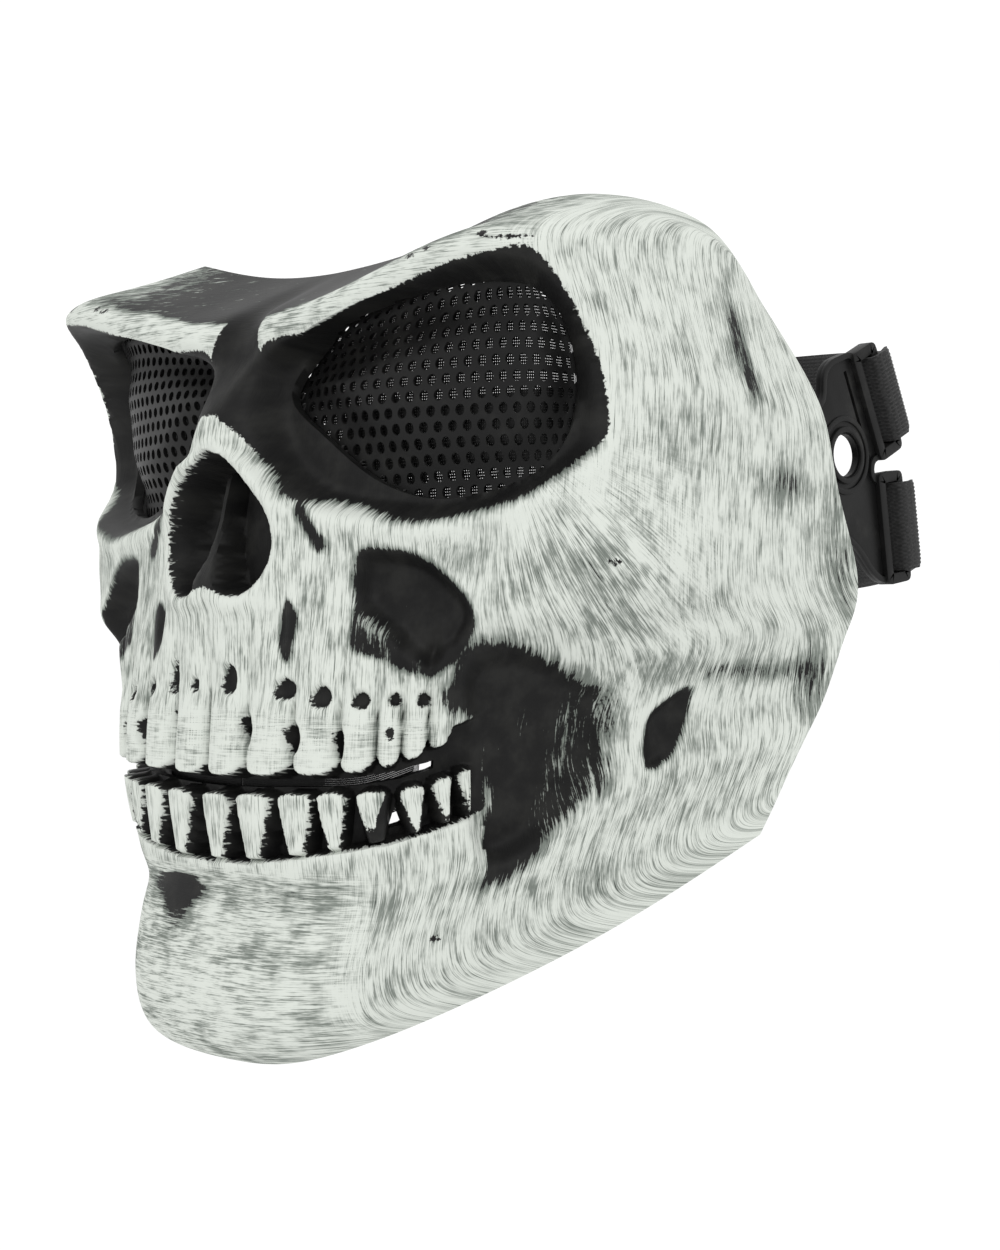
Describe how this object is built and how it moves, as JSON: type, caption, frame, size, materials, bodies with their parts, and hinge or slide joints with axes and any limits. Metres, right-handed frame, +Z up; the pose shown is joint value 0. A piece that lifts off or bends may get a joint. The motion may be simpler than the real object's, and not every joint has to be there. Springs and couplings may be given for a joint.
{
  "type": "skull mask",
  "caption": "Full-face moulded skull mask with pierced eye guards, brushed bone paint, side anchor plates and elastic head straps.",
  "frame": {"origin": "inner side of the nose bridge on the middle plane, where the mask sits on a face", "axes": "mask upright as worn: +Z up, -Y out of the face, +X to the wearer's left"},
  "size_m": [0.1743, 0.1969, 0.1805],
  "materials": {
    "bone_paint": "black plastic dry-brushed with off-white paint",
    "black_steel": "satin black",
    "black_plastic": "satin",
    "rivet_steel": "plain",
    "black_webbing": "ribbed elastic webbing"
  },
  "bodies": {
    "root": {"mask_shell": "bone_paint", "eye_mesh_left": "black_steel", "eye_mesh_right": "black_steel", "strap_anchor_left": "black_plastic", "strap_anchor_right": "black_plastic", "anchor_rivet_left": "rivet_steel", "anchor_rivet_right": "rivet_steel", "strap_upper": "black_webbing", "strap_lower": "black_webbing"}
  },
  "joints": []
}
